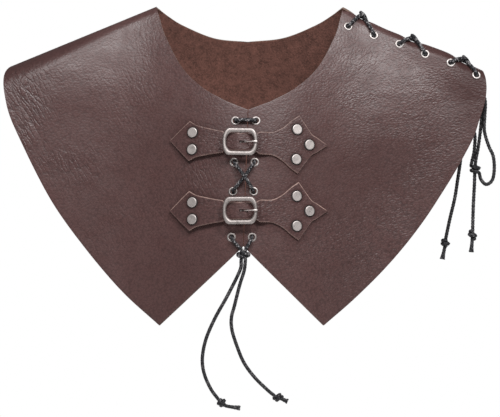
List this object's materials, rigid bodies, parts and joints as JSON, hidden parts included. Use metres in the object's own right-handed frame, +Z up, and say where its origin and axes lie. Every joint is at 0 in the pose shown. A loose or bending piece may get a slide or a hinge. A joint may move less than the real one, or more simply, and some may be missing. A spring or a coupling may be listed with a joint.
{
  "type": "shoulder armour",
  "caption": "Short leather shoulder armour with a pointed hem, buckled straps across a laced front opening and a laced right shoulder seam.",
  "frame": {"origin": "middle of the neck opening, at the height of the shoulder ridges beside the neck, where it lies on the wearer's shoulders", "axes": "+X to the viewer's right, which is the wearer's left; -Y out of the front; +Z up"},
  "size_m": [0.5175, 0.1921, 0.4227],
  "materials": {
    "leather": "satin, fine grain",
    "metal": "antique satin",
    "cord": "matt braid"
  },
  "bodies": {
    "armour": {"shell": "leather", "right_front_panel": "leather", "upper_chape": "leather", "upper_billet": "leather", "lower_chape": "leather", "lower_billet": "leather", "eyelet_left_1": "metal", "eyelet_left_2": "metal", "eyelet_left_3": "metal", "eyelet_left_4": "metal", "eyelet_right_1": "metal", "eyelet_right_2": "metal", "eyelet_right_3": "metal", "eyelet_right_4": "metal", "eyelet_shoulder_front_1": "metal", "eyelet_shoulder_front_2": "metal", "eyelet_shoulder_front_3": "metal", "eyelet_shoulder_front_4": "metal", "eyelet_shoulder_front_5": "metal", "eyelet_shoulder_front_6": "metal", "eyelet_shoulder_back_1": "metal", "eyelet_shoulder_back_2": "metal", "eyelet_shoulder_back_3": "metal", "eyelet_shoulder_back_4": "metal", "eyelet_shoulder_back_5": "metal", "eyelet_shoulder_back_6": "metal", "upper_chape_rivet_1": "metal", "upper_chape_rivet_2": "metal", "upper_billet_rivet_1": "metal", "upper_billet_rivet_2": "metal", "upper_billet_rivet_3": "metal", "lower_chape_rivet_1": "metal", "lower_chape_rivet_2": "metal", "lower_billet_rivet_1": "metal", "lower_billet_rivet_2": "metal", "lower_billet_rivet_3": "metal", "front_lace": "cord", "shoulder_lace": "cord", "front_knot": "cord", "front_cord_left": "cord", "front_cord_right": "cord", "front_tip_left": "cord", "front_tip_right": "cord", "side_cord_front": "cord", "side_cord_back": "cord", "side_tip_front": "cord", "side_tip_back": "cord"},
    "upper_frame": {"upper_buckle_frame": "metal"},
    "upper_tongue": {"upper_buckle_tongue": "metal"},
    "lower_frame": {"lower_buckle_frame": "metal"},
    "lower_tongue": {"lower_buckle_tongue": "metal"}
  },
  "joints": [
    {"name": "upper_frame_tilt", "type": "hinge", "parent": "armour", "child": "upper_frame", "pos_m": [-0.00794, -0.08582, -0.14344], "axis": [0.0299, 0.1725, 0.9846], "range_deg": [-3, 3]},
    {"name": "upper_tongue_lift", "type": "hinge", "parent": "upper_frame", "child": "upper_tongue", "pos_m": [-0.00794, -0.08582, -0.14344], "axis": [-0.0299, -0.1725, -0.9846], "range_deg": [0, 35]},
    {"name": "lower_frame_tilt", "type": "hinge", "parent": "armour", "child": "lower_frame", "pos_m": [-0.00794, -0.09518, -0.21511], "axis": [0, 0.0923, 0.9957], "range_deg": [-3, 3]},
    {"name": "lower_tongue_lift", "type": "hinge", "parent": "lower_frame", "child": "lower_tongue", "pos_m": [-0.00794, -0.09518, -0.21511], "axis": [0, -0.0923, -0.9957], "range_deg": [0, 35]}
  ]
}
